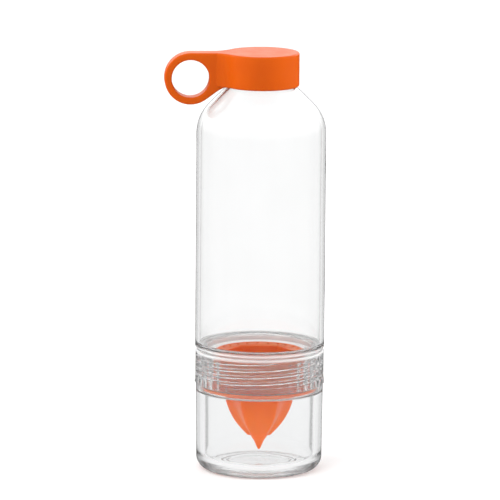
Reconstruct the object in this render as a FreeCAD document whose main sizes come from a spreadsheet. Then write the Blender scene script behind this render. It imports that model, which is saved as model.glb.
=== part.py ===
import FreeCAD, Part
import math
import os
import re
import Sketcher

# A clear drinking bottle that unscrews in the middle. A base cup with a ribbed collar holds a
# fluted citrus press, the long body screws down onto both, and a screw cap with a moulded
# carry ring closes the mouth. The origin is the centre of the foot, +Z is up, and the carry
# ring points to -X. Everything turns on the Z axis.

DIMENSIONS = {
    # long body, shoulder and mouth
    "total_height": 248.0,
    "body_radius": 38.0,
    "body_wall": 2.4,
    "body_low_edge": 72.7,
    "low_edge_round": 1.2,
    "low_root_round": 0.8,
    "step_wall": 2.6,
    "step_slope": 0.6,
    "step_outer_round": 1.4,
    "step_inner_round": 1.6,
    "body_split": 199.0,
    "shoulder_height": 210.2,
    "shoulder_arc": 25.0,
    "mouth_root_round": 3.0,
    "mouth_radius": 17.9,
    "mouth_bore": 15.6,
    "mouth_top": 245.0,
    "mouth_crest": 18.9,
    "mouth_thread_drop": 11.0,
    "cap_lead": 4.0,
    "cap_thread_rise": 7.0,
    # open neck at the low end of the long body
    "neck_radius": 33.2,
    "neck_bore": 30.2,
    "neck_crest": 34.8,
    "neck_lead": 8.0,
    "neck_thread_lift": 3.1,
    "neck_thread_rise": 12.4,
    "thread_starts": 2.0,
    "tooth_root": 3.0,
    "tooth_crest": 0.8,
    "tooth_sink": 0.3,
    # base cup and its collar band
    "cup_radius": 37.5,
    "foot_radius": 36.9,
    "foot_corner": 8.0,
    "foot_groove_inner": 18.5,
    "foot_groove_outer": 22.5,
    "foot_groove_depth": 1.2,
    "foot_groove_slope": 1.0,
    "cup_bore": 32.6,
    "cup_draft": 0.4,
    "cup_floor": 5.0,
    "floor_corner": 6.0,
    "ledge_height": 46.6,
    "ledge_round": 0.8,
    "collar_bore": 35.2,
    "collar_crest": 34.0,
    "collar_thread_lift": 5.1,
    "collar_thread_rise": 11.4,
    "collar_radius": 37.85,
    "collar_flare": 0.4,
    "flare_height": 4.0,
    "collar_low": 51.8,
    "collar_top": 71.7,
    "collar_top_round": 0.8,
    "grip_count": 40.0,
    "grip_height": 17.8,
    "grip_width": 3.2,
    "grip_depth": 0.8,
    # citrus press and its two gaskets
    "seat_gap": 0.1,
    "gasket_thick": 1.0,
    "flange_thick": 1.8,
    "flange_radius": 33.7,
    "skirt_low_radius": 27.0,
    "skirt_top_radius": 26.4,
    "press_top": 71.0,
    "press_wall": 1.6,
    "press_mouth": 21.0,
    "lip_round": 1.0,
    "lip_slope": 0.8,
    "reamer_turn": -3.0,
    "rib_count": 6.0,
    "reamer_tip": 11.2,
    "tip_end_radius": 0.7,
    "tip_end_rise": 0.4,
    "tip_waist_radius": 3.0,
    "tip_waist_rise": 5.7,
    "tip_step_radius": 4.6,
    "tip_step_rise": 7.8,
    "tip_root_radius": 5.0,
    "tip_base": 22.0,
    "rib_wall": 1.8,
    "hollow_low": 23.6,
    "hollow_low_rib": 6.0,
    "hollow_low_flute": 4.0,
    "slot_count": 24.0,
    "slot_width": 1.4,
    "slot_inner": 22.9,
    "slot_outer": 24.8,
    "slot_depth": 5.0,
    # cap, threaded liner and carry ring
    "cap_radius": 22.0,
    "cap_low": 228.0,
    "cap_wall": 1.5,
    "cap_top_wall": 1.8,
    "cap_edge": 1.0,
    "liner_bore": 19.35,
    "liner_crest": 18.3,
    "liner_low": 229.2,
    "liner_thread_drop": 12.8,
    "cap_gasket_radius": 18.4,
    "ring_centre": 41.8,
    "ring_radius": 15.2,
    "ring_bore": 11.0,
    "ring_depth": 11.0,
    "web_low": 228.0,
    "web_fillet": 8.0,
    "web_root": 13.0,
    "web_reach": 7.0,
    # how far a cut runs past the face that it opens
    "cut_past": 1.0,
}

# The reamer's cross-section is a star: height, radius on a rib, radius in a flute.
REAMER_SECTIONS = {
    "top": (70.2, 22.4, 21.2),
    "root": (47.7, 21.3, 17.3),
    "upper": (42.6, 20.2, 15.6),
    "middle": (34.3, 17.5, 12.9),
    "lower": (27.3, 13.4, 9.4),
    "end": (20.4, 7.1, 4.4),
}
for name, (height, rib, flute) in REAMER_SECTIONS.items():
    DIMENSIONS["reamer_%s_height" % name] = height
    DIMENSIONS["reamer_%s_rib" % name] = rib
    DIMENSIONS["reamer_%s_flute" % name] = flute

doc = FreeCAD.newDocument("infuser_bottle")
sheet = doc.addObject("Spreadsheet::Sheet", "dims")
for row, (alias, size) in enumerate(DIMENSIONS.items(), start=1):
    sheet.set("A%d" % row, alias.replace("_", " "))
    sheet.set("B%d" % row, str(size))
    sheet.setAlias("B%d" % row, alias)
doc.recompute()

# Heights that follow from the stack of parts.
FLANGE_LOW = "ledge_height + gasket_thick + 2 * seat_gap"
FLANGE_TOP = FLANGE_LOW + " + flange_thick"
NECK_LOW = FLANGE_TOP + " + gasket_thick + 2 * seat_gap"
CAP_CEILING = "total_height - cap_top_wall"
RING_HEIGHT = "total_height - ring_radius"


def bound(expression):
    """The expression with each dimension's name turned into a reference to its cell."""
    return re.sub(
        r"[a-z_]+",
        lambda word: "dims." + word[0] if word[0] in DIMENSIONS else word[0],
        expression,
    )


def value(expression):
    """The number that an expression of the sheet's dimensions gives now."""
    result = sheet.evalExpression(bound(expression))
    return float(getattr(result, "Value", result))


def new_body(label):
    body = doc.addObject("PartDesign::Body", label)
    body.Label = label
    return body


def new_sketch(body, name, plane="XZ_Plane", height=None):
    """An empty sketch on one of the body's origin planes, lifted along its normal."""
    sketch = body.newObject("Sketcher::SketchObject", body.Label + "_" + name)
    support = next(f for f in body.Origin.OriginFeatures if f.Role == plane)
    sketch.AttachmentSupport = [(support, "")]
    sketch.MapMode = "FlatFace"
    if height:
        sketch.setExpression("AttachmentOffset.Base.z", bound(height))
    return sketch


def bind(sketch, constraint, expression):
    """Add a dimension to the sketch and tie it to the sheet."""
    index = sketch.addConstraint(Sketcher.Constraint(*constraint, value(expression)))
    sketch.setExpression("Constraints[%d]" % index, bound(expression))


def place_point(sketch, geometry, position, x, y):
    """Fix one point of the sketch at the distances x and y from its origin."""
    for kind, axis, distance in (("DistanceX", -2, x), ("DistanceY", -1, y)):
        if distance == "0":
            sketch.addConstraint(Sketcher.Constraint("PointOnObject", geometry, position, axis))
        else:
            bind(sketch, (kind, -1, 1, geometry, position), distance)


def round_corner(corner, before, after, radius):
    """Ends and centre of the arc that rounds a corner."""
    to_before = (before - corner).normalize()
    to_after = (after - corner).normalize()
    half = to_before.getAngle(to_after) / 2
    reach = radius / math.tan(half)
    centre = corner + (to_before + to_after).normalize() * (radius / math.sin(half))
    return corner + to_before * reach, corner + to_after * reach, centre


def add_round(sketch, start, end, centre, radius):
    """Add a corner's arc. Returns its index and which ends are its start and its end."""
    first = math.atan2(start.y - centre.y, start.x - centre.x)
    last = math.atan2(end.y - centre.y, end.x - centre.x)
    forward = (last - first) % (2 * math.pi) < math.pi
    circle = Part.Circle(centre, FreeCAD.Vector(0, 0, 1), radius)
    angles = (first, last) if forward else (last, first)
    arc = sketch.addGeometry(Part.ArcOfCircle(circle, *angles))
    return (arc, 1, 2) if forward else (arc, 2, 1)


def outline(sketch, corners):
    """Close an outline through corners (x, y) or (x, y, rounding), all bound to the sheet."""
    count = len(corners)
    points = [FreeCAD.Vector(value(c[0]), value(c[1]), 0) for c in corners]
    ends = []
    for i, corner in enumerate(corners):
        if len(corner) == 3:
            radius = value(corner[2])
            ends.append(round_corner(points[i], points[i - 1], points[(i + 1) % count], radius))
        else:
            ends.append((points[i], points[i], None))
    for i in range(count):
        sketch.addGeometry(Part.LineSegment(ends[i][1], ends[(i + 1) % count][0]))
    for i, corner in enumerate(corners):
        line_in = (i - 1) % count
        if len(corner) == 2:
            sketch.addConstraint(Sketcher.Constraint("Coincident", line_in, 2, i, 1))
            place_point(sketch, i, 1, corner[0], corner[1])
            continue
        start, end, centre = ends[i]
        arc, arc_start, arc_end = add_round(sketch, start, end, centre, value(corner[2]))
        sketch.addConstraint(Sketcher.Constraint("Tangent", line_in, 2, arc, arc_start))
        sketch.addConstraint(Sketcher.Constraint("Tangent", i, 1, arc, arc_end))
        bind(sketch, ("Radius", arc), corner[2])
        apex = sketch.addGeometry(Part.Point(points[i]), True)
        sketch.addConstraint(Sketcher.Constraint("PointOnObject", apex, 1, line_in))
        sketch.addConstraint(Sketcher.Constraint("PointOnObject", apex, 1, i))
        place_point(sketch, apex, 1, corner[0], corner[1])
    return sketch


def revolve(body, name, corners, kind="Revolution"):
    """Turn an outline (radius, height) about the Z axis."""
    sketch = outline(new_sketch(body, name + "_outline"), corners)
    feature = body.newObject("PartDesign::" + kind, body.Label + "_" + name)
    feature.Profile = sketch
    feature.ReferenceAxis = (sketch, ["V_Axis"])
    feature.Angle = 360
    return feature


def pattern(body, feature, count):
    """Repeat a feature round the Z axis."""
    repeat = body.newObject("PartDesign::PolarPattern", feature.Name + "_repeat")
    repeat.Originals = [feature]
    repeat.Axis = (feature.Profile[0], ["V_Axis" if "thread" in feature.Name else "N_Axis"])
    repeat.Angle = 360
    repeat.setExpression("Occurrences", bound(count))
    body.Tip = repeat
    return repeat


def thread(body, root, crest, low, rise, lead, starts=None):
    """Wind a trapezoid tooth up the wall at root; its crest may point in or out."""
    outward = value(crest) > value(root)
    foot = root + (" - tooth_sink" if outward else " + tooth_sink")
    corners = [
        (foot, low),
        (foot, low + " + tooth_root"),
        (crest, low + " + (tooth_root + tooth_crest) / 2"),
        (crest, low + " + (tooth_root - tooth_crest) / 2"),
    ]
    sketch = outline(new_sketch(body, "tooth"), corners)
    coil = body.newObject("PartDesign::AdditiveHelix", body.Label + "_thread")
    coil.Profile = sketch
    coil.ReferenceAxis = (sketch, ["V_Axis"])
    coil.Mode = "pitch-height-angle"
    coil.setExpression("Pitch", bound(lead))
    coil.setExpression("Height", bound(rise))
    if starts:
        pattern(body, coil, starts)


def bottle_body():
    """The long clear body up to the shoulder, with its threaded open neck below."""
    body = new_body("bottle_body")
    inner = "(body_radius - body_wall)"
    step_top = "body_low_edge + step_wall"
    revolve(body, "shell", [
        ("neck_bore", NECK_LOW),
        ("neck_radius", NECK_LOW),
        ("neck_radius", "body_low_edge", "low_root_round"),
        ("body_radius", "body_low_edge", "low_edge_round"),
        ("body_radius", "body_split"),
        (inner, "body_split"),
        (inner, step_top, "step_outer_round"),
        ("neck_bore", step_top + " - step_slope", "step_inner_round"),
    ])
    thread(body, "neck_radius", "neck_crest", NECK_LOW + " + neck_thread_lift",
           "neck_thread_rise", "neck_lead", "thread_starts")
    return body


def bottle_shoulder():
    """The same moulding above body_split: 45 degree shoulder and threaded mouth."""
    body = new_body("bottle_shoulder")
    cone = "(body_radius + shoulder_height)"
    inner_cone = "(body_radius + shoulder_height - body_wall * sqrt(2))"
    inner = "(body_radius - body_wall)"
    revolve(body, "shell", [
        ("body_radius", "body_split"),
        ("body_radius", "shoulder_height", "shoulder_arc"),
        ("mouth_radius", cone + " - mouth_radius"),
        ("mouth_radius", "mouth_top"),
        ("mouth_bore", "mouth_top"),
        ("mouth_bore", inner_cone + " - mouth_bore", "mouth_root_round"),
        (inner, inner_cone + " - " + inner, "shoulder_arc - body_wall"),
        (inner, "body_split"),
    ])
    thread(body, "mouth_radius", "mouth_crest", "mouth_top - mouth_thread_drop",
           "cap_thread_rise", "cap_lead")
    return body


def base_cup():
    """The cup under the collar: thick floor, ledge for the press, ribbed threaded collar."""
    body = new_body("base_cup")
    revolve(body, "shell", [
        ("0", "0"),
        ("foot_groove_inner", "0"),
        ("foot_groove_inner + foot_groove_slope", "foot_groove_depth"),
        ("foot_groove_outer - foot_groove_slope", "foot_groove_depth"),
        ("foot_groove_outer", "0"),
        ("foot_radius", "0", "foot_corner"),
        ("cup_radius", "collar_low"),
        ("collar_radius + collar_flare", "collar_low"),
        ("collar_radius", "collar_low + flare_height"),
        ("collar_radius", "collar_top", "collar_top_round"),
        ("collar_bore", "collar_top"),
        ("collar_bore", "ledge_height"),
        ("cup_bore", "ledge_height", "ledge_round"),
        ("cup_bore - cup_draft", "cup_floor", "floor_corner"),
        ("0", "cup_floor"),
    ])
    grip_grooves(body)
    thread(body, "collar_bore", "collar_crest", NECK_LOW + " + collar_thread_lift",
           "collar_thread_rise", "neck_lead", "thread_starts")
    return body


def grip_grooves(body):
    """Upright grooves that leave the collar's grip ribs standing."""
    sketch = new_sketch(body, "grip", "XY_Plane", "collar_low")
    outline(sketch, [
        ("collar_radius - grip_depth", "0 - grip_width / 4"),
        ("collar_radius + cut_past", "0 - grip_width / 2"),
        ("collar_radius + cut_past", "grip_width / 2"),
        ("collar_radius - grip_depth", "grip_width / 4"),
    ])
    groove = body.newObject("PartDesign::Pocket", "base_cup_grip")
    groove.Profile = sketch
    groove.setExpression("Length", "dims.grip_height")
    groove.Reversed = True
    pattern(body, groove, "grip_count")


def star(body, name, height, rib, flute):
    """A star-shaped section of the reamer at one height."""
    ribs = int(DIMENSIONS["rib_count"])
    corners = []
    for i in range(2 * ribs):
        radius = rib if i % 2 == 0 else flute
        angle = "reamer_turn + %g" % (i * 180 / ribs)
        corners.append(("(%s) * cos(%s)" % (radius, angle), "(%s) * sin(%s)" % (radius, angle)))
    return outline(new_sketch(body, name, "XY_Plane", height), corners)


def loft(body, name, kind, sections):
    """Join the reamer's sections, each (name, height, rib radius, flute radius)."""
    sketches = [star(body, name + "_" + s[0], s[1], s[2], s[3]) for s in sections]
    feature = body.newObject("PartDesign::" + kind, body.Label + "_" + name)
    feature.Profile = sketches[0]
    feature.Sections = sketches[1:]
    feature.Ruled = True
    return feature


def citrus_press():
    """Hollow fluted reamer, tip down, inside a skirt that stands on the flange."""
    body = new_body("citrus_press")
    lip_low = "press_top - press_wall"
    revolve(body, "flange", [
        ("skirt_low_radius - press_wall", FLANGE_LOW),
        ("flange_radius", FLANGE_LOW),
        ("flange_radius", FLANGE_TOP),
        ("skirt_low_radius", FLANGE_TOP),
        ("skirt_top_radius", "press_top", "lip_round"),
        ("press_mouth", "press_top - lip_slope"),
        ("press_mouth", lip_low + " - lip_slope"),
        ("skirt_top_radius - press_wall", lip_low),
    ])
    names = list(REAMER_SECTIONS)
    loft(body, "reamer", "AdditiveLoft", [
        (n, "reamer_%s_height" % n, "reamer_%s_rib" % n, "reamer_%s_flute" % n) for n in names
    ])
    revolve(body, "tip", [
        ("0", "reamer_tip"),
        ("tip_end_radius", "reamer_tip + tip_end_rise"),
        ("tip_waist_radius", "reamer_tip + tip_waist_rise"),
        ("tip_step_radius", "reamer_tip + tip_step_rise"),
        ("tip_root_radius", "tip_base"),
        ("0", "tip_base"),
    ])
    hollow = [("mouth", "press_top + cut_past", "reamer_top_rib - press_wall",
               "reamer_top_flute - press_wall")]
    for n in names[:-1]:
        hollow.append((n, "reamer_%s_height" % n, "reamer_%s_rib - rib_wall" % n,
                       "reamer_%s_flute - press_wall" % n))
    hollow.append(("bottom", "hollow_low", "hollow_low_rib", "hollow_low_flute"))
    loft(body, "hollow", "SubtractiveLoft", hollow)
    strainer_slots(body)
    return body


def strainer_slots(body):
    """Radial slots through the lip, where the drink passes between cup and body."""
    sketch = new_sketch(body, "slot", "XY_Plane", "press_top + cut_past")
    outline(sketch, [
        ("slot_inner", "0 - slot_width / 2"),
        ("slot_outer", "0 - slot_width / 2"),
        ("slot_outer", "slot_width / 2"),
        ("slot_inner", "slot_width / 2"),
    ])
    slot = body.newObject("PartDesign::Pocket", "citrus_press_slot")
    slot.Profile = sketch
    slot.setExpression("Length", bound("slot_depth + cut_past"))
    pattern(body, slot, "slot_count")


def flat_ring(label, inner, outer, low, thick):
    """A flat gasket; with inner '0' it is a disc."""
    body = new_body(label)
    revolve(body, "section", [
        (inner, low),
        (outer, low),
        (outer, low + " + " + thick),
        (inner, low + " + " + thick),
    ])
    return body


def cap_shell():
    """The cap's outer shell with its carry ring, in one moulding."""
    body = new_body("cap_shell")
    revolve(body, "solid", [
        ("0", "cap_low"),
        ("cap_radius", "cap_low"),
        ("cap_radius", "total_height", "cap_edge"),
        ("0", "total_height"),
    ])
    carry_web(body)
    carry_ring(body)
    web_flanks(body)
    revolve(body, "inside", [
        ("0", "cap_low - cut_past"),
        ("cap_radius - cap_wall", "cap_low - cut_past"),
        ("cap_radius - cap_wall", CAP_CEILING),
        ("0", CAP_CEILING),
    ], kind="Groove")
    return body


def middle_pad(body, name, sketch, kind="Pad"):
    """A pad or pocket as deep as the ring, centred on the sketch's plane."""
    past = " + 2 * cut_past" if kind == "Pocket" else ""
    feature = body.newObject("PartDesign::" + kind, body.Label + "_" + name)
    feature.Profile = sketch
    feature.Midplane = True
    feature.setExpression("Length", bound("ring_depth" + past))
    return feature


def carry_web(body):
    """The web between cap and ring, rounded into the ring underneath."""
    drop = "(%s - web_low + web_fillet)" % RING_HEIGHT
    reach = "sqrt((ring_radius + web_fillet)^2 - %s^2)" % drop
    share = "ring_radius / (ring_radius + web_fillet)"
    touch_x = "0 - ring_centre + %s * %s" % (reach, share)
    touch_y = "%s - %s * %s" % (RING_HEIGHT, drop, share)
    sketch = new_sketch(body, "web_outline")
    outline(sketch, [
        ("0 - ring_centre", "total_height"),
        ("0 - cap_radius / 2", "total_height"),
        ("0 - cap_radius / 2", "web_low"),
        ("0 - ring_centre + " + reach, "web_low"),
        (touch_x, touch_y),
        ("0 - ring_centre", RING_HEIGHT),
    ])
    middle_pad(body, "web", sketch)


def ring_circle(body, name, radius):
    sketch = new_sketch(body, name)
    centre = FreeCAD.Vector(value("0 - ring_centre"), value(RING_HEIGHT), 0)
    circle = Part.Circle(centre, FreeCAD.Vector(0, 0, 1), value(radius))
    index = sketch.addGeometry(circle)
    bind(sketch, ("Radius", index), radius)
    place_point(sketch, index, 3, "0 - ring_centre", RING_HEIGHT)
    return sketch


def carry_ring(body):
    middle_pad(body, "ring", ring_circle(body, "ring_outline", "ring_radius"))
    middle_pad(body, "hole", ring_circle(body, "hole_outline", "ring_bore"), kind="Pocket")


def web_flanks(body):
    """The web widens into the cap's side."""
    half = "ring_depth / 2"
    end = "0 - cap_radius - web_reach"
    sketch = new_sketch(body, "flank_outline", "XY_Plane", "web_low")
    outline(sketch, [
        ("0 - cap_radius / 2", "0 - web_root"),
        ("0 - sqrt(cap_radius^2 - web_root^2)", "0 - web_root"),
        ("0 - cap_radius", "0 - " + half, "web_fillet"),
        (end, "0 - " + half),
        (end, half),
        ("0 - cap_radius", half, "web_fillet"),
        ("0 - sqrt(cap_radius^2 - web_root^2)", "web_root"),
        ("0 - cap_radius / 2", "web_root"),
    ])
    flank = body.newObject("PartDesign::Pad", "cap_shell_flanks")
    flank.Profile = sketch
    flank.setExpression("Length", bound("total_height - web_low"))


def cap_liner():
    """The threaded liner fixed inside the cap."""
    body = new_body("cap_liner")
    revolve(body, "tube", [
        ("liner_bore", "liner_low"),
        ("cap_radius - cap_wall", "liner_low"),
        ("cap_radius - cap_wall", CAP_CEILING),
        ("liner_bore", CAP_CEILING),
    ])
    thread(body, "liner_bore", "liner_crest", "mouth_top - liner_thread_drop",
           "cap_thread_rise", "cap_lead")
    return body


def export_parts(parts):
    """Check every object, then write one STEP file for each sub-part."""
    doc.recompute()
    for item in doc.Objects:
        if "Invalid" in item.State or "Error" in item.State:
            raise RuntimeError("%s failed: %s" % (item.Name, item.State))
    for part in parts:
        if part.Shape.isNull() or not part.Shape.isValid():
            raise RuntimeError("%s has no valid shape" % part.Label)
        if len(part.Shape.Solids) != 1:
            raise RuntimeError("%s has %d solids" % (part.Label, len(part.Shape.Solids)))
    os.makedirs("parts", exist_ok=True)
    for part in parts:
        part.Shape.exportStep("parts/%s.step" % part.Label)
        box = part.Shape.BoundBox
        print("%-14s %9.1f mm3  z %.2f to %.2f  r %.2f" % (
            part.Label, part.Shape.Volume, box.ZMin, box.ZMax, box.YMax))


export_parts([
    bottle_body(),
    bottle_shoulder(),
    base_cup(),
    citrus_press(),
    flat_ring("neck_gasket", "neck_bore", "neck_radius - seat_gap",
              FLANGE_TOP + " + seat_gap", "gasket_thick"),
    flat_ring("press_gasket", "cup_bore", "flange_radius", "ledge_height + seat_gap",
              "gasket_thick"),
    cap_shell(),
    cap_liner(),
    flat_ring("cap_gasket", "0", "cap_gasket_radius", "mouth_top + seat_gap", "gasket_thick"),
])
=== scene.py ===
import math

import bmesh
import bpy
import numpy as np
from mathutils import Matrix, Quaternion, Vector


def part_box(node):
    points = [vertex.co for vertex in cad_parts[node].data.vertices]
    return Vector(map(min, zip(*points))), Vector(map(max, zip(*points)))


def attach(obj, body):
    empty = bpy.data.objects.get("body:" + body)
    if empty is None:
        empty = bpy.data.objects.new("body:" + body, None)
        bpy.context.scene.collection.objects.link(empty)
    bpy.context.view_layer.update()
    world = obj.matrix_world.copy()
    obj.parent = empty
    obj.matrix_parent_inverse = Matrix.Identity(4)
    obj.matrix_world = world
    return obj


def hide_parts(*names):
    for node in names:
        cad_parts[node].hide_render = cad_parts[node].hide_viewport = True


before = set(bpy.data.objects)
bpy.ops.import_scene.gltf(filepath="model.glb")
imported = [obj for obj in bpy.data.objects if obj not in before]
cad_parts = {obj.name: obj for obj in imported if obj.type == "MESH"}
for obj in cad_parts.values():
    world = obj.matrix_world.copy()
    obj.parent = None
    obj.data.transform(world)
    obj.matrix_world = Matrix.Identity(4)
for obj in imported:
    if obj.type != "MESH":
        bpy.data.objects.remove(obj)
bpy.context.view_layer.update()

# Lengths in this script are millimetres, and meshes are scaled to metres when they are made.
MM = 0.001

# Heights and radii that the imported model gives.
_, cup_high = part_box("base_cup")
body_low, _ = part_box("bottle_body")
_, mouth_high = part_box("bottle_shoulder")
press_low, press_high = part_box("citrus_press")
shell_low, shell_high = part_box("cap_shell")
liner_low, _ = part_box("cap_liner")

TOTAL_HEIGHT = shell_high[2] / MM
COLLAR_TOP = cup_high[2] / MM
COLLAR_RADIUS = cup_high[0] / MM
BODY_RADIUS = mouth_high[0] / MM
NECK_LOW = body_low[2] / MM
MOUTH_TOP = mouth_high[2] / MM
PRESS_TOP = press_high[2] / MM
REAMER_TIP = press_low[2] / MM
FLANGE_RADIUS = press_high[0] / MM
RING_RADIUS = 15.2
RING_CENTRE = shell_low[0] / MM + RING_RADIUS
CAP_RADIUS = shell_high[0] / MM

# Sizes that the boxes don't hold.
BODY_WALL = 2.4
BODY_LOW_EDGE = 72.7
STEP_WALL = 2.6
STEP_SLOPE = 0.6
SHOULDER_SUM = 248.2
SHOULDER_ARC = 25.0
MOUTH_RADIUS = 17.9
MOUTH_BORE = 15.6
MOUTH_CREST = 18.9
CAP_LEAD = 4.0
CAP_TOOTH = 1.1
MOUTH_THREAD_DROP = (9.5, 2.5)
LINER_THREAD_DROP = (11.3, 4.3)
NECK_RADIUS = 33.2
NECK_BORE = 30.2
NECK_CREST = 34.7
NECK_LEAD = 8.0
NECK_TOOTH = 1.45
NECK_THREAD_PHASE = 4.6
NECK_THREAD_LIFT = (1.2, 17.4)
COLLAR_THREAD_PHASE = 6.6
COLLAR_THREAD_LIFT = (3.2, 17.4)
CUP_RADIUS = 37.5
FOOT_RADIUS = 36.9
FOOT_CORNER = 8.0
FOOT_GROOVE = (18.5, 19.5, 21.5, 22.5)
FOOT_GROOVE_DEPTH = 1.2
CUP_BORE = 32.6
CUP_FLOOR = 5.0
CUP_DRAFT = 0.4
FLOOR_CORNER = 6.0
LEDGE = 47.3
COLLAR_BORE = 35.2
COLLAR_CREST = 34.1
COLLAR_LOW = 51.8
COLLAR_FLARE = 0.4
FLARE_HEIGHT = 4
GRIP_COUNT = 40
GRIP_TOP = 69.6
FLANGE_LOW = 48.2
FLANGE_THICK = 1.8
FLANGE_INNER = 25.6
PRESS_WALL = 1.6
PRESS_MOUTH = 21.0
SKIRT_LOW = 27.0
SKIRT_TOP = 26.4
LIP_SLOPE = 0.8
LIP_BELOW_TOP = 0.1
REAMER_LOW = 20.0
REAMER_BELOW_TOP = 1.2
TIP_HIGH = 22.5
HOLLOW_LOW = 24.0
RIB_COUNT = 6
REAMER_TURN = math.radians(-3)
SLOT_COUNT = 24
SLOT_INNER = 22.9
SLOT_OUTER = 24.7
SLOT_HALF_WIDTH = 0.7
SLOT_HALF_DEPTH = 4.0
CAP_LOW = 228.0
CAP_WALL = 1.5
CAP_TOP_WALL = 1.8
CAP_CEILING = TOTAL_HEIGHT - CAP_TOP_WALL
LINER_GAP = 0.02
LINER_BORE = 19.35
LINER_CREST = 18.3
RING_BORE = 11.0
RING_DEPTH = 11.0
WEB_END = -8
WEB_REACH = 12
WEB_OVERLAP = 5
WEB_FILLET = 8.0
FLANK_STRIP = (-26, -5)
FLANK_FILLET = 7.0

# How finely the meshes follow the shapes.
FIELD_MARGIN = 1.5
PRESS_CELL = 0.45
CAP_CELL = 0.42
FINE_STEP = 0.3
BAND_STEP = 0.8
WALL_STEP = 8.0
CUP_STEP = 6.0
END_STEP = 0.3
ROUND_STEP = 1.2
ON_WALL = 0.05
NEAR_WALL = 0.3


# ---------------------------------------------------------------- mesh helpers

def make_object(name, verts, faces):
    """A smooth mesh object from vertices in millimetres."""
    mesh = bpy.data.meshes.new(name)
    mesh.from_pydata((np.asarray(verts) * MM).tolist(), [], faces)
    mesh.validate()
    bm = bmesh.new()
    bm.from_mesh(mesh)
    bmesh.ops.recalc_face_normals(bm, faces=bm.faces)
    bm.to_mesh(mesh)
    bm.free()
    mesh.shade_smooth()
    piece = bpy.data.objects.new(name, mesh)
    bpy.context.scene.collection.objects.link(piece)
    return piece


def rounded(corners, closed):
    """An outline with its corners rounded: each corner is (radius, height, rounding)."""
    points = []
    count = len(corners)
    for i, corner in enumerate(corners):
        here = Vector(corner[:2])
        if len(corner) == 2 or (not closed and i in (0, count - 1)):
            points.append(here)
            continue
        to_last = (Vector(corners[i - 1][:2]) - here).normalized()
        to_next = (Vector(corners[(i + 1) % count][:2]) - here).normalized()
        half = to_last.angle(to_next) / 2
        reach = corner[2] / math.tan(half)
        centre = here + (to_last + to_next).normalized() * (corner[2] / math.sin(half))
        start = here + to_last * reach - centre
        sweep = math.pi - 2 * half
        turn = sweep if start.cross(here + to_next * reach - centre) > 0 else -sweep
        steps = max(4, int(corner[2] * sweep / ROUND_STEP))
        for k in range(steps + 1):
            angle = turn * k / steps
            cos, sin = math.cos(angle), math.sin(angle)
            spoke = Vector((start.x * cos - start.y * sin, start.x * sin + start.y * cos))
            points.append(centre + spoke)
    return points


def subdivided(points, closed, longest):
    """Extra points along long stretches, and close to both ends of each."""
    result = []
    count = len(points)
    for i in range(count if closed else count - 1):
        a, b = points[i], points[(i + 1) % count]
        length = (b - a).length
        result.append(a)
        if length < 4 * END_STEP:
            continue
        inner_a, inner_b = a.lerp(b, END_STEP / length), a.lerp(b, 1 - END_STEP / length)
        steps = max(1, math.ceil((length - 2 * END_STEP) / longest(a, b)))
        result.extend(inner_a.lerp(inner_b, k / steps) for k in range(steps + 1))
    if not closed:
        result.append(points[-1])
    return result


def lathe(name, corners, segments, closed=True, longest=lambda a, b: WALL_STEP, shape=None):
    """Turn an outline about Z. shape(radius, height, angle) may move the surface in or out."""
    outline = subdivided(rounded(corners, closed), closed, longest)
    radius = np.array([p.x for p in outline])[:, None]
    height = np.array([p.y for p in outline])[:, None]
    angle = np.linspace(0, 2 * math.pi, segments, endpoint=False)[None, :]
    spread = radius + np.zeros_like(angle)
    if shape:
        spread = shape(radius, height, angle)
    x = spread * np.cos(angle)
    y = spread * np.sin(angle)
    z = height + np.zeros_like(angle)
    verts = np.stack([x, y, z], -1).reshape(-1, 3)
    rows = len(outline)
    faces = []
    for i in range(rows if closed else rows - 1):
        low, high = i * segments, ((i + 1) % rows) * segments
        for k in range(segments):
            after = (k + 1) % segments
            faces.append((low + k, low + after, high + after, high + k))
    piece = make_object(name, verts, faces)
    if not closed:
        weld(piece)
    return piece


def weld(piece):
    """Merge the points that meet on the axis."""
    bm = bmesh.new()
    bm.from_mesh(piece.data)
    bmesh.ops.remove_doubles(bm, verts=bm.verts, dist=1e-6)
    bmesh.ops.dissolve_degenerate(bm, edges=bm.edges, dist=1e-7)
    bmesh.ops.recalc_face_normals(bm, faces=bm.faces)
    bm.to_mesh(piece.data)
    bm.free()
    piece.data.shade_smooth()


def smoothstep(value):
    value = np.clip(value, 0, 1)
    return value * value * (3 - 2 * value)


def tooth(height, angle, first, reach, lead, spacing, half):
    """How far up a screw thread's round tooth a point is, from 0 in the root to 1 on the crest.

    At angle 0 a tooth is centred at the height first. The thread runs out at both heights of
    reach, and half is half a tooth's width.
    """
    along = first + lead * angle / (2 * math.pi)
    centre = along + spacing * np.round((height - along) / spacing)
    side = np.sqrt(np.clip(1 - ((height - centre) / half) ** 2, 0, 1))
    low, high = reach
    fade = smoothstep(np.minimum(centre - low, high - centre) / 0.9)
    return side * fade * smoothstep((height - low + half - 0.3) / 0.6)


# ---------------------------------------------------------------- solid fields

def round_union(a, b, radius):
    """Union of two distance fields with a circular fillet where they meet."""
    reach_a = np.maximum(radius - a, 0)
    reach_b = np.maximum(radius - b, 0)
    return np.maximum(radius, np.minimum(a, b)) - np.hypot(reach_a, reach_b)


def round_cut(a, b, radius):
    """Field a without field b, with a rounded edge."""
    return -round_union(-a, b, radius)


def extruded(flat, height, half, edge):
    """A flat field given a thickness, with rounded edges."""
    across = flat + edge
    along = np.abs(height) - (half - edge)
    return np.hypot(np.maximum(across, 0), np.maximum(along, 0)) + np.minimum(
        np.maximum(across, along), 0) - edge


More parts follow.
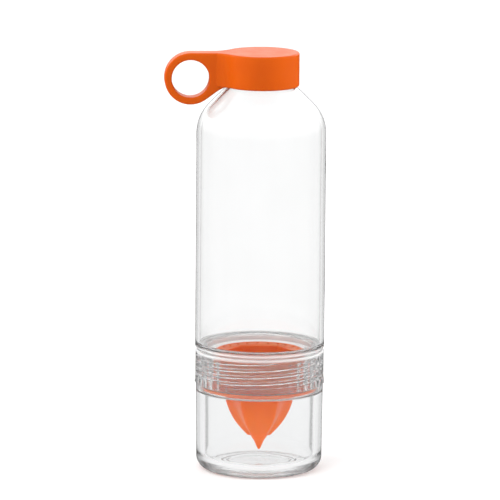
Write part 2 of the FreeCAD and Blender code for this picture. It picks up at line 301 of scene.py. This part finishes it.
def box_field(x, y, low, high):
    """A flat rectangle's distance field."""
    across = np.abs(x - (low[0] + high[0]) / 2) - (high[0] - low[0]) / 2
    along = np.abs(y - (low[1] + high[1]) / 2) - (high[1] - low[1]) / 2
    return np.hypot(np.maximum(across, 0), np.maximum(along, 0)) + np.minimum(
        np.maximum(across, along), 0)


def field_mesh(name, field, low, high, step):
    """A closed quad mesh of the surface where the field is 0 (a surface net, pulled tight)."""
    axes = [np.arange(low[i], high[i] + step, step) for i in range(3)]
    values = field(*np.meshgrid(*axes, indexing="ij"))
    cells = tuple(n - 1 for n in values.shape)
    total = np.zeros(cells + (3,))
    count = np.zeros(cells, dtype=int)
    crossings = []
    for axis in range(3):
        near = np.take(values, range(values.shape[axis] - 1), axis)
        far = np.take(values, range(1, values.shape[axis]), axis)
        index = np.argwhere((near < 0) != (far < 0))
        start, end = near[tuple(index.T)], far[tuple(index.T)]
        points = index.astype(float)
        points[:, axis] += start / (start - end)
        around = []
        for back in ((0, 0), (1, 0), (1, 1), (0, 1)):
            cell = index.copy()
            cell[:, (axis + 1) % 3] -= back[0]
            cell[:, (axis + 2) % 3] -= back[1]
            np.add.at(total, tuple(cell.T), points)
            np.add.at(count, tuple(cell.T), 1)
            around.append(tuple(cell.T))
        crossings.append(around)
    used = count > 0
    number = np.full(cells, -1)
    number[used] = np.arange(used.sum())
    verts = total[used] / count[used][:, None] * step + np.array([a[0] for a in axes])
    faces = np.concatenate([np.stack([number[c] for c in around], -1) for around in crossings])
    return make_object(name, pulled_to(field, verts), faces.tolist())


def pulled_to(field, verts):
    """Move points along the field's slope onto its surface."""
    reach = 0.02
    for _ in range(5):
        distance = field(*verts.T)
        slope = np.empty_like(verts)
        for axis in range(3):
            shift = np.zeros(3)
            shift[axis] = reach
            slope[:, axis] = (field(*(verts + shift).T) - field(*(verts - shift).T)) / (2 * reach)
        steep = np.maximum((slope ** 2).sum(-1), 0.25)
        move = np.clip(distance / steep, -0.25, 0.25)
        verts = verts - slope * move[:, None]
    return verts


# ---------------------------------------------------------------- clear pieces

def on_upright(a, b, radius):
    """True for a stretch that runs up the wall of this radius."""
    return abs(a.x - radius) < NEAR_WALL and abs(b.x - radius) < NEAR_WALL


def bottle_body():
    inner = BODY_RADIUS - BODY_WALL
    inner_sum = SHOULDER_SUM - BODY_WALL * math.sqrt(2)
    corners = [
        (NECK_BORE, NECK_LOW, 0.4),
        (NECK_RADIUS, NECK_LOW, 0.5),
        (NECK_RADIUS, BODY_LOW_EDGE, 0.8),
        (BODY_RADIUS, BODY_LOW_EDGE, 1.2),
        (BODY_RADIUS, SHOULDER_SUM - BODY_RADIUS, SHOULDER_ARC),
        (MOUTH_RADIUS, SHOULDER_SUM - MOUTH_RADIUS, 1.5),
        (MOUTH_RADIUS, MOUTH_TOP, 0.6),
        (MOUTH_BORE, MOUTH_TOP, 0.6),
        (MOUTH_BORE, inner_sum - MOUTH_BORE, 3.0),
        (inner, inner_sum - inner, SHOULDER_ARC - BODY_WALL),
        (inner, BODY_LOW_EDGE + STEP_WALL, 1.4),
        (NECK_BORE, BODY_LOW_EDGE + STEP_WALL - STEP_SLOPE, 1.6),
    ]

    def longest(a, b):
        threaded = on_upright(a, b, NECK_RADIUS) or on_upright(a, b, MOUTH_RADIUS)
        return FINE_STEP if threaded else WALL_STEP

    def shape(radius, height, angle):
        low = tooth(height, angle, NECK_LOW + NECK_THREAD_PHASE,
                    [NECK_LOW + lift for lift in NECK_THREAD_LIFT],
                    NECK_LEAD, NECK_LEAD / 2, NECK_TOOTH)
        high = tooth(height, angle, MOUTH_TOP - MOUTH_THREAD_DROP[0],
                     [MOUTH_TOP - drop for drop in MOUTH_THREAD_DROP],
                     CAP_LEAD, CAP_LEAD, CAP_TOOTH)
        on_neck = np.abs(radius - NECK_RADIUS) < ON_WALL
        on_mouth = np.abs(radius - MOUTH_RADIUS) < ON_WALL
        return (radius + on_neck * low * (NECK_CREST - NECK_RADIUS)
                + on_mouth * high * (MOUTH_CREST - MOUTH_RADIUS))

    return lathe("clear_body", corners, 256, longest=longest, shape=shape)


def base_cup():
    corners = [
        (0, 0),
        (FOOT_GROOVE[0], 0, 0.5),
        (FOOT_GROOVE[1], FOOT_GROOVE_DEPTH, 0.5),
        (FOOT_GROOVE[2], FOOT_GROOVE_DEPTH, 0.5),
        (FOOT_GROOVE[3], 0, 0.5),
        (FOOT_RADIUS, 0, FOOT_CORNER),
        (CUP_RADIUS, COLLAR_LOW, 0.35),
        (COLLAR_RADIUS, COLLAR_LOW, 0.35),
        (COLLAR_RADIUS - COLLAR_FLARE, COLLAR_LOW + FLARE_HEIGHT, 3.0),
        (COLLAR_RADIUS - COLLAR_FLARE, COLLAR_TOP, 0.9),
        (COLLAR_BORE, COLLAR_TOP, 0.7),
        (COLLAR_BORE, LEDGE, 0.6),
        (CUP_BORE, LEDGE, 0.7),
        (CUP_BORE - CUP_DRAFT, CUP_FLOOR, FLOOR_CORNER),
        (0, CUP_FLOOR),
    ]

    def longest(a, b):
        on_band = a.x > CUP_RADIUS and min(a.y, b.y) > COLLAR_LOW - 1
        if on_upright(a, b, COLLAR_BORE):
            return FINE_STEP
        return BAND_STEP if on_band else CUP_STEP

    def shape(radius, height, angle):
        inside = tooth(height, angle, NECK_LOW + COLLAR_THREAD_PHASE,
                       [NECK_LOW + lift for lift in COLLAR_THREAD_LIFT],
                       NECK_LEAD, NECK_LEAD / 2, NECK_TOOTH)
        on_bore = np.abs(radius - COLLAR_BORE) < ON_WALL
        wave = 0.5 - 0.5 * np.cos(GRIP_COUNT * angle)
        groove = smoothstep(wave * 1.3 - 0.15)
        ends = smoothstep((GRIP_TOP - height) / 1.5)
        ends = ends * smoothstep((height - COLLAR_LOW + 0.2) / 0.2)
        on_band = (radius > CUP_RADIUS + 0.02) * ends
        return (radius - on_bore * inside * (COLLAR_BORE - COLLAR_CREST)
                - on_band * groove * np.maximum(radius - CUP_RADIUS, 0) * 0.9)

    return lathe("clear_cup", corners, 480, closed=False, longest=longest, shape=shape)


# ---------------------------------------------------------------- orange pieces

REAMER_HEIGHTS = [20.0, 24.0, 27.3, 34.3, 42.6, 49.0, 60.0, 72.6]
REAMER_RIBS = [6.9, 10.7, 13.4, 17.5, 20.2, 21.3, 21.9, 22.4]
REAMER_FLUTES = [4.9, 7.6, 9.7, 13.6, 16.6, 17.9, 19.8, 21.2]


def curve(height, heights, radii):
    """A smooth curve through (height, radius) points."""
    heights, radii = np.array(heights), np.array(radii)
    slopes = np.gradient(radii, heights)
    place = np.clip(np.searchsorted(heights, height) - 1, 0, len(heights) - 2)
    span = heights[place + 1] - heights[place]
    t = np.clip((height - heights[place]) / span, 0, 1)
    near = (1 + 2 * t) * (1 - t) ** 2 * radii[place] + t * (1 - t) ** 2 * span * slopes[place]
    far = t * t * (3 - 2 * t) * radii[place + 1] - t * t * (1 - t) * span * slopes[place + 1]
    return near + far


def reamer_radius(height, angle, inset):
    """Radius of the fluted wall: sharp ribs with hollow flutes between them."""
    ribs = curve(height, REAMER_HEIGHTS, REAMER_RIBS)
    flutes = curve(height, REAMER_HEIGHTS, REAMER_FLUTES)
    swing = np.sin(RIB_COUNT / 2 * (angle - REAMER_TURN))
    ridge = 1.11 - np.sqrt(swing * swing + 0.012)
    return flutes + (ribs - flutes) * ridge - inset


def press_field(x, y, z):
    radius = np.hypot(x, y)
    angle = np.arctan2(y, x)
    lean = 0.75
    outside = (radius - reamer_radius(z, angle, 0)) * lean
    reamer_top = PRESS_TOP - REAMER_BELOW_TOP
    reamer = np.maximum(outside, np.abs(z - (REAMER_LOW + reamer_top) / 2)
                        - (reamer_top - REAMER_LOW) / 2)
    tip_radius = np.interp(z, [REAMER_TIP, REAMER_TIP + 0.5, 16.9, 19.0, 23.0],
                           [0.1, 0.75, 3.1, 4.6, 6.0])
    tip = np.maximum((radius - tip_radius) * 0.85,
                     np.abs(z - (REAMER_TIP + TIP_HIGH) / 2) - (TIP_HIGH - REAMER_TIP) / 2)
    solid = round_union(reamer, tip, 0.5)
    top = PRESS_TOP - LIP_BELOW_TOP
    share = np.clip((z - FLANGE_LOW) / (top - FLANGE_LOW), 0, 1)
    skirt_middle = SKIRT_LOW - PRESS_WALL / 2 - (SKIRT_LOW - SKIRT_TOP) * share
    skirt = extruded(np.abs(radius - skirt_middle) - PRESS_WALL / 2,
                     z - (FLANGE_LOW + top) / 2, (top - FLANGE_LOW) / 2, 0.6)
    flange_half = (FLANGE_RADIUS - FLANGE_INNER) / 2
    flange = extruded(np.abs(radius - (FLANGE_RADIUS + FLANGE_INNER) / 2) - flange_half,
                      z - FLANGE_LOW - FLANGE_THICK / 2, FLANGE_THICK / 2, 0.5)
    lip_half = (SKIRT_TOP - PRESS_MOUTH) / 2
    lip_share = np.clip((SKIRT_TOP - radius) / (2 * lip_half), 0, 1)
    lip_height = top - PRESS_WALL / 2 - LIP_SLOPE * lip_share
    lip = extruded(np.abs(radius - PRESS_MOUTH - lip_half) - lip_half, z - lip_height,
                   PRESS_WALL / 2, 0.6)
    skirt_and_flange = round_union(skirt, flange, 0.8)
    half_pitch = math.pi / SLOT_COUNT
    slot_angle = (angle + half_pitch) % (2 * half_pitch) - half_pitch
    across = radius * np.abs(np.sin(slot_angle))
    slot_plan = box_field(radius, across, (SLOT_INNER, -SLOT_HALF_WIDTH),
                          (SLOT_OUTER, SLOT_HALF_WIDTH))
    slot = extruded(slot_plan, z - top, SLOT_HALF_DEPTH, 0.2)
    lip = np.maximum(lip, -slot)
    solid = np.minimum(np.minimum(solid, skirt_and_flange), lip)
    hollow = np.maximum((radius - reamer_radius(z, angle, PRESS_WALL)) * lean, HOLLOW_LOW - z)
    return np.maximum(solid, -hollow)


def citrus_press():
    reach = FLANGE_RADIUS + FIELD_MARGIN
    return field_mesh("press", press_field, (-reach, -reach, REAMER_TIP - FIELD_MARGIN),
                      (reach, reach, PRESS_TOP + FIELD_MARGIN), PRESS_CELL)


def cap_field(x, y, z):
    """Cap, web and ring: the ring and web are flat across Y, the cap and flanks upright."""
    ring_z = TOTAL_HEIGHT - RING_RADIUS
    disc = np.hypot(x - RING_CENTRE, z - ring_z) - RING_RADIUS
    upper = box_field(x, z, (RING_CENTRE, ring_z), (WEB_END, TOTAL_HEIGHT))
    lower = box_field(x, z, (RING_CENTRE + WEB_REACH, CAP_LOW), (WEB_END, ring_z + WEB_OVERLAP))
    side = np.minimum(np.minimum(disc, upper), round_union(disc, lower, WEB_FILLET))
    bore = RING_BORE - np.hypot(x - RING_CENTRE, z - ring_z)
    arm = extruded(np.maximum(side, bore), y, RING_DEPTH / 2, 1.0)
    strip = box_field(x, y, (FLANK_STRIP[0], -RING_DEPTH / 2), (FLANK_STRIP[1], RING_DEPTH / 2))
    plan = round_union(np.hypot(x, y) - CAP_RADIUS, strip, FLANK_FILLET)
    middle = (TOTAL_HEIGHT + CAP_LOW) / 2
    cap = extruded(plan, z - middle, (TOTAL_HEIGHT - CAP_LOW) / 2, 1.1)
    inside = extruded(np.hypot(x, y) - (CAP_RADIUS - CAP_WALL), z - CAP_LOW,
                      CAP_CEILING - CAP_LOW, 0.4)
    return round_cut(np.minimum(arm, cap), inside, 0.3)


def cap_shell():
    reach = CAP_RADIUS + FIELD_MARGIN
    low = (shell_low[0] / MM - FIELD_MARGIN, -reach, shell_low[2] / MM - FIELD_MARGIN)
    return field_mesh("cap", cap_field, low, (reach, reach, TOTAL_HEIGHT + FIELD_MARGIN), CAP_CELL)


def cap_liner():
    outer = CAP_RADIUS - CAP_WALL - LINER_GAP
    low, high = liner_low[2] / MM, CAP_CEILING - LINER_GAP
    corners = [
        (LINER_BORE, low, 0.3),
        (outer, low, 0.3),
        (outer, high, 0.2),
        (LINER_BORE, high, 0.2),
    ]

    def shape(radius, height, angle):
        turn = tooth(height, angle, MOUTH_TOP - LINER_THREAD_DROP[0],
                     [MOUTH_TOP - drop for drop in LINER_THREAD_DROP],
                     CAP_LEAD, CAP_LEAD, CAP_TOOTH)
        on_bore = np.abs(radius - LINER_BORE) < ON_WALL
        return radius - on_bore * turn * (LINER_BORE - LINER_CREST)

    def longest(a, b):
        return FINE_STEP if on_upright(a, b, LINER_BORE) else WALL_STEP

    return lathe("liner", corners, 192, longest=longest, shape=shape)


def gasket(name, node, inner):
    """A flat silicone ring with rounded edges, as large as its CAD node."""
    low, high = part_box(node)
    outer, bottom, top = high[0] / MM, low[2] / MM, high[2] / MM
    edge = min(0.42, (outer - inner) * 0.4)
    corners = [(inner, bottom, edge), (outer, bottom, edge), (outer, top, edge),
               (inner, top, edge)]
    return lathe(name, corners, 192)


def cap_gasket():
    """A disc with a raised sealing bead, seen only with the cap off."""
    low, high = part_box("cap_gasket")
    outer, bottom, top = high[0] / MM, low[2] / MM, high[2] / MM
    corners = [
        (0, bottom + 0.3),
        (14.6, bottom + 0.3, 0.4),
        (15.2, bottom, 0.25),
        (outer, bottom, 0.4),
        (outer, top, 0.4),
        (0, top),
    ]
    return lathe("cap_seal", corners, 128, closed=False)


# ---------------------------------------------------------------- materials

def new_material(name):
    material = bpy.data.materials.new(name)
    material.use_nodes = True
    nodes = material.node_tree.nodes
    shader = nodes["Principled BSDF"]
    return material, nodes, material.node_tree.links, shader


def noise(nodes, links, scale, detail=3.0, roughness=0.5):
    """Noise in object space; scale is in waves per metre."""
    place = nodes.new("ShaderNodeTexCoord")
    texture = nodes.new("ShaderNodeTexNoise")
    texture.inputs["Scale"].default_value = scale
    texture.inputs["Detail"].default_value = detail
    texture.inputs["Roughness"].default_value = roughness
    links.new(place.outputs["Object"], texture.inputs["Vector"])
    return texture.outputs["Fac"]


def ramp(nodes, links, source, low, high, to_low, to_high):
    """Map source from low..high to to_low..to_high."""
    node = nodes.new("ShaderNodeMapRange")
    node.inputs["From Min"].default_value = low
    node.inputs["From Max"].default_value = high
    node.inputs["To Min"].default_value = to_low
    node.inputs["To Max"].default_value = to_high
    links.new(source, node.inputs["Value"])
    return node.outputs["Result"]


def bump(nodes, links, shader, source, strength, distance):
    node = nodes.new("ShaderNodeBump")
    node.inputs["Strength"].default_value = strength
    node.inputs["Distance"].default_value = distance
    links.new(source, node.inputs["Height"])
    last = shader.inputs["Normal"].links
    if last:
        links.new(last[0].from_socket, node.inputs["Normal"])
    links.new(node.outputs["Normal"], shader.inputs["Normal"])


def mottled(nodes, links, shader, colour, other, scale):
    """A base colour that drifts slowly between two close colours."""
    mix = nodes.new("ShaderNodeMix")
    mix.data_type = "RGBA"
    mix.inputs["A"].default_value = (*colour, 1)
    mix.inputs["B"].default_value = (*other, 1)
    drift = ramp(nodes, links, noise(nodes, links, scale), 0.35, 0.65, 0, 1)
    links.new(drift, mix.inputs["Factor"])
    links.new(mix.outputs["Result"], shader.inputs["Base Color"])


def clear_plastic(name, tint, density, wave, haze, milk, edge, highlight_milk):
    """Clear moulded copolyester with slow flow waves and a grey cast in thick walls.

    Between the two heights of haze, where threads and ribs were cut into the mould, the
    surface is matt, and the share milk of it scatters light. Around the height edge, where
    the two clear pieces meet, the last share turns the surface milky: a painted highlight.
    """
    material, nodes, links, shader = new_material(name)
    deeper = tuple(0.985 * channel for channel in tint)
    mottled(nodes, links, shader, tint, deeper, 30)
    shader.inputs["IOR"].default_value = 1.5
    shader.inputs["Specular Tint"].default_value = (0.45, 0.45, 0.45, 1)
    place = nodes.new("ShaderNodeTexCoord")
    split = nodes.new("ShaderNodeSeparateXYZ")
    links.new(place.outputs["Object"], split.inputs["Vector"])
    height = split.outputs["Z"]
    above = ramp(nodes, links, height, haze[0] * MM, (haze[0] + 2) * MM, 0, 1)
    below = ramp(nodes, links, height, (haze[1] - 2) * MM, haze[1] * MM, 1, 0)
    zone = math_node(nodes, links, "MULTIPLY", above, below)
    # A milky band where the two clear pieces meet: a painted highlight along their seam.
    over = ramp(nodes, links, height, (edge - 2) * MM, (edge - 1) * MM, 0, 1)
    under = ramp(nodes, links, height, (edge + 1) * MM, (edge + 2) * MM, 1, 0)
    seam = math_node(nodes, links, "MULTIPLY", over, under)
    moulded = ramp(nodes, links, zone, 0, 1, 1, 1 - milk)
    links.new(blended(nodes, links, seam, moulded, 1 - highlight_milk),
              shader.inputs["Transmission Weight"])
    speckle = noise(nodes, links, 260, detail=6, roughness=0.7)
    handled = ramp(nodes, links, speckle, 0.55, 0.8, 0.0, 0.05)
    mould = ramp(nodes, links, speckle, 0.3, 0.7, 0.1, 0.16)
    links.new(blended(nodes, links, zone, handled, mould), shader.inputs["Roughness"])
    bump(nodes, links, shader, noise(nodes, links, 55, detail=1), wave, 0.0004)
    absorb = nodes.new("ShaderNodeVolumeAbsorption")
    absorb.inputs["Color"].default_value = (0.8, 0.81, 0.81, 1)
    absorb.inputs["Density"].default_value = density
    links.new(absorb.outputs["Volume"], nodes["Material Output"].inputs["Volume"])
    return material


def matt_foot(material):
    """Add a fine blasted texture to the bottom of the cup."""
    nodes, links = material.node_tree.nodes, material.node_tree.links
    rough = nodes["Principled BSDF"].inputs["Roughness"]
    last = rough.links[0].from_socket
    place = nodes.new("ShaderNodeTexCoord")
    split = nodes.new("ShaderNodeSeparateXYZ")
    links.new(place.outputs["Object"], split.inputs["Vector"])
    low = ramp(nodes, links, split.outputs["Z"], 0.004, 0.011, 1, 0)
    links.new(blended(nodes, links, low, last, 0.16), rough)


def orange_plastic(name, colour, other, roughness, grain):
    """Opaque moulded plastic: fine spark-eroded grain, slow colour drift, rubbed patches."""
    material, nodes, links, shader = new_material(name)
    mottled(nodes, links, shader, colour, other, 45)
    worn = noise(nodes, links, 90, detail=5, roughness=0.65)
    links.new(ramp(nodes, links, worn, 0.35, 0.7, roughness, roughness + 0.1),
              shader.inputs["Roughness"])
    shader.inputs["IOR"].default_value = 1.49
    shader.inputs["Specular IOR Level"].default_value = 0.14
    shader.inputs["Subsurface Weight"].default_value = 0.12
    shader.inputs["Subsurface Radius"].default_value = (1.0, 0.35, 0.08)
    shader.inputs["Subsurface Scale"].default_value = 0.002
    bump(nodes, links, shader, noise(nodes, links, 4200, detail=2), grain, 0.00006)
    bump(nodes, links, shader, noise(nodes, links, 120, detail=2), 0.15, 0.0002)
    return material


def glow(material):
    """Thin walls let light through."""
    shader = material.node_tree.nodes["Principled BSDF"]
    shader.inputs["Specular IOR Level"].default_value = 0.5
    shader.inputs["Subsurface Weight"].default_value = 0.5
    shader.inputs["Subsurface Radius"].default_value = (1.0, 0.3, 0.06)
    shader.inputs["Subsurface Scale"].default_value = 0.004


def silicone(name):
    """Milky silicone rubber with a dusty sheen."""
    material, nodes, links, shader = new_material(name)
    mottled(nodes, links, shader, (0.86, 0.86, 0.84), (0.8, 0.8, 0.79), 70)
    worn = noise(nodes, links, 400, detail=4)
    links.new(ramp(nodes, links, worn, 0.3, 0.7, 0.45, 0.62), shader.inputs["Roughness"])
    shader.inputs["Subsurface Weight"].default_value = 0.2
    shader.inputs["Subsurface Scale"].default_value = 0.001
    shader.inputs["Transmission Weight"].default_value = 0.75
    bump(nodes, links, shader, noise(nodes, links, 1500, detail=2), 0.2, 0.00005)
    return material


def floor_material():
    material, nodes, links, shader = new_material("floor_white")
    mottled(nodes, links, shader, (0.93, 0.93, 0.93), (0.91, 0.91, 0.91), 5)
    shader.inputs["Roughness"].default_value = 0.9
    return material


# ---------------------------------------------------------------- assembly

def stand_in(piece, nodes, body, material):
    """Give a visual piece its material and its body, and hide the CAD nodes that it stands for."""
    piece.data.materials.append(material)
    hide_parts(*nodes)
    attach(piece, body)


def build_object():
    # Both clear pieces turn milky where they meet: a painted highlight, set by the last argument.
    clear_body = clear_plastic("clear_body", tint=(0.982, 0.984, 0.984), density=6, wave=0.08,
                               haze=(NECK_LOW - 3, BODY_LOW_EDGE + 4), milk=0.02,
                               edge=BODY_LOW_EDGE, highlight_milk=0.5)
    # Beyond what its thick walls absorb, the cup's greyer tint and denser absorption than the
    # body's are painted shade for the grey seen in the cup.
    clear_cup = clear_plastic("clear_cup", tint=(0.946, 0.949, 0.951), density=8, wave=0.1,
                              haze=(LEDGE - 1, COLLAR_TOP + 2), milk=0.05,
                              edge=COLLAR_TOP, highlight_milk=0.4)
    matt_foot(clear_cup)
    # The cap's orange is much darker than the press's: painted shade for the cap's less lit sides.
    painted_shade_cap_orange = orange_plastic("painted_shade_cap_orange", (0.57, 0.083, 0.0), (0.54, 0.076, 0.0),
                                roughness=0.34, grain=0.35)
    press_orange = orange_plastic("press_orange", (0.95, 0.17, 0.01), (0.92, 0.15, 0.008),
                                  roughness=0.3, grain=0.15)
    glow(press_orange)
    rubber = silicone("silicone")
    stand_in(bottle_body(), ["bottle_body", "bottle_shoulder"], "bottle", clear_body)
    stand_in(base_cup(), ["base_cup"], "base", clear_cup)
    stand_in(citrus_press(), ["citrus_press"], "press", press_orange)
    stand_in(cap_shell(), ["cap_shell"], "cap", painted_shade_cap_orange)
    stand_in(cap_liner(), ["cap_liner"], "cap", painted_shade_cap_orange)
    stand_in(cap_gasket(), ["cap_gasket"], "cap_lift", rubber)
    stand_in(gasket("neck_seal", "neck_gasket", NECK_BORE), ["neck_gasket"], "bottle_lift",
             rubber)
    stand_in(gasket("press_seal", "press_gasket", CUP_BORE), ["press_gasket"], "press", rubber)


# ---------------------------------------------------------------- stage

CAMERA_AZIMUTH = math.radians(-3)
CAMERA_ELEVATION = math.radians(10.3)
CAMERA_DISTANCE = 3.5
CAMERA_LENS = 429.0
CAMERA_ROLL = math.radians(0.45)
AIM_HEIGHT = 0.1304
AIM_LEFT = 0.0061
FLOOR_RADIUS = 3.0
LIGHT_TARGET = (0, 0, 0.15)

# The studio's panels, the gaps between them, its ceiling and its ground. A panel fades into a
# gap between GAP_WAVE and PANEL_WAVE of a cosine with one wave for each panel.
PANEL_COUNT = 8
PANEL_AZIMUTH = math.radians(3)
PANEL_LIGHT = 1.05
GAP_LIGHT = 0.36
CEILING_LIGHT = 1.9
GROUND_LIGHT = 1.05
PANEL_WAVE = -0.6
GAP_WAVE = -0.95
CEILING_RISE = (0.3, 0.55)
GROUND_FALL = (-0.3, -0.5)

# Light on matt surfaces in the open and inside the clear walls, and the gloss on plastic, which
# grows from low to high directions. ECHO_SHARE lightens what is seen after a reflection or
# through more walls than one piece has.
AMBIENT_LIGHT = 0.88
INSIDE_LIGHT = 1.68
LOW_SHEEN = 0.05
HIGH_SHEEN = 1.9
SHEEN_RISE = (-0.05, 0.15)
ECHO_SHARE = 0.8
SINGLE_WALL_DEPTH = 5.5


def add_camera():
    data = bpy.data.cameras.new("camera")
    data.lens = CAMERA_LENS
    data.clip_end = 50
    camera = bpy.data.objects.new("camera", data)
    bpy.context.scene.collection.objects.link(camera)
    flat = Vector((math.sin(CAMERA_AZIMUTH), -math.cos(CAMERA_AZIMUTH), 0))
    back = flat * math.cos(CAMERA_ELEVATION) + Vector((0, 0, math.sin(CAMERA_ELEVATION)))
    right = Vector((math.cos(CAMERA_AZIMUTH), math.sin(CAMERA_AZIMUTH), 0))
    aim = Vector((0, 0, AIM_HEIGHT)) - right * AIM_LEFT
    camera.location = aim + back * CAMERA_DISTANCE
    camera.rotation_mode = "QUATERNION"
    level = (-back).to_track_quat("-Z", "Y")
    camera.rotation_quaternion = level @ Quaternion((0, 0, 1), CAMERA_ROLL)
    bpy.context.scene.camera = camera


def add_floor():
    """A round pale floor. Clear walls don't show it, so they stay as light as the studio."""
    bm = bmesh.new()
    bmesh.ops.create_circle(bm, cap_ends=True, segments=96, radius=FLOOR_RADIUS)
    mesh = bpy.data.meshes.new("floor")
    bm.to_mesh(mesh)
    bm.free()
    mesh.materials.append(floor_material())
    floor = bpy.data.objects.new("floor", mesh)
    bpy.context.scene.collection.objects.link(floor)
    floor.visible_transmission = False
    floor.visible_glossy = False


def add_area(name, location, size, power):
    """A soft light that points at the middle of the bottle."""
    data = bpy.data.lights.new(name, "AREA")
    data.shape = "RECTANGLE"
    data.size, data.size_y = size
    data.energy = power
    light = bpy.data.objects.new(name, data)
    light.location = location
    light.visible_glossy = False
    light.visible_transmission = False
    aim = Vector(LIGHT_TARGET) - Vector(location)
    light.rotation_euler = aim.to_track_quat("-Z", "Y").to_euler()
    bpy.context.scene.collection.objects.link(light)


def math_node(nodes, links, operation, first, second=None):
    node = nodes.new("ShaderNodeMath")
    node.operation = operation
    for slot, value in enumerate((first, second)):
        if isinstance(value, (int, float)):
            node.inputs[slot].default_value = value
        elif value is not None:
            links.new(value, node.inputs[slot])
    return node.outputs["Value"]


def blended(nodes, links, factor, first, second):
    """A value between first and second, each a number or a socket."""
    mix = nodes.new("ShaderNodeMix")
    links.new(factor, mix.inputs["Factor"])
    for slot, value in (("A", first), ("B", second)):
        if isinstance(value, (int, float)):
            mix.inputs[slot].default_value = value
        else:
            links.new(value, mix.inputs[slot])
    return mix.outputs["Result"]


def add_world():
    """A white studio: tall white panels with darker gaps between them, and a bright ceiling.

    The panels stand every 45 degrees, so that from any side the object has white behind it
    and gaps beside it, which draw the edges of its clear walls.
    """
    world = bpy.data.worlds.new("studio")
    world.use_nodes = True
    nodes, links = world.node_tree.nodes, world.node_tree.links
    background = nodes["Background"]
    place = nodes.new("ShaderNodeTexCoord")
    split = nodes.new("ShaderNodeSeparateXYZ")
    links.new(place.outputs["Generated"], split.inputs["Vector"])
    x, y, z = (split.outputs[axis] for axis in "XYZ")
    azimuth = math_node(nodes, links, "ARCTAN2", x, y)
    turned = math_node(nodes, links, "MULTIPLY_ADD", azimuth, PANEL_COUNT)
    turned.node.inputs[2].default_value = -PANEL_COUNT * PANEL_AZIMUTH
    wave = math_node(nodes, links, "COSINE", turned)
    panels = ramp(nodes, links, wave, GAP_WAVE, PANEL_WAVE, GAP_LIGHT, PANEL_LIGHT)
    upper = ramp(nodes, links, z, *CEILING_RISE, 0, 1)
    lower = ramp(nodes, links, z, *GROUND_FALL, 0, 1)
    strength = blended(nodes, links, upper, panels, CEILING_LIGHT)
    strength = blended(nodes, links, lower, strength, GROUND_LIGHT)
    path = nodes.new("ShaderNodeLightPath")
    echoed = math_node(nodes, links, "GREATER_THAN", path.outputs["Glossy Depth"], 0.5)
    layered = math_node(nodes, links, "GREATER_THAN", path.outputs["Transmission Depth"],
                        SINGLE_WALL_DEPTH)
    echoed = math_node(nodes, links, "MAXIMUM", echoed, layered)
    echoed = math_node(nodes, links, "MULTIPLY", echoed, ECHO_SHARE)
    strength = blended(nodes, links, echoed, strength, PANEL_LIGHT)
    through = path.outputs["Is Transmission Ray"]
    sheen = ramp(nodes, links, z, *SHEEN_RISE, LOW_SHEEN, HIGH_SHEEN)
    strength = blended(nodes, links, through, sheen, strength)
    scattered = math_node(nodes, links, "GREATER_THAN", path.outputs["Diffuse Depth"], 0.5)
    diffuse = blended(nodes, links, through, AMBIENT_LIGHT, INSIDE_LIGHT)
    strength = blended(nodes, links, scattered, strength, diffuse)
    strength = blended(nodes, links, path.outputs["Is Camera Ray"], strength, 1.0)
    links.new(strength, background.inputs["Strength"])
    background.inputs["Color"].default_value = (1, 1, 1, 1)
    bpy.context.scene.world = world


def set_look():
    scene = bpy.context.scene
    scene.view_settings.view_transform = "Standard"
    scene.cycles.use_denoising = True
    scene.cycles.max_bounces = 24
    scene.cycles.transmission_bounces = 24
    scene.cycles.glossy_bounces = 8
    scene.cycles.diffuse_bounces = 4


build_object()
add_camera()
add_floor()
add_area("key", (-0.7, -0.9, 1.5), size=(0.9, 0.9), power=9)
add_area("left_box", (-1.4, 0.1, 0.5), size=(0.5, 1.2), power=11)
add_area("right_box", (1.4, -0.1, 0.5), size=(0.5, 1.2), power=13)
add_world()
set_look()
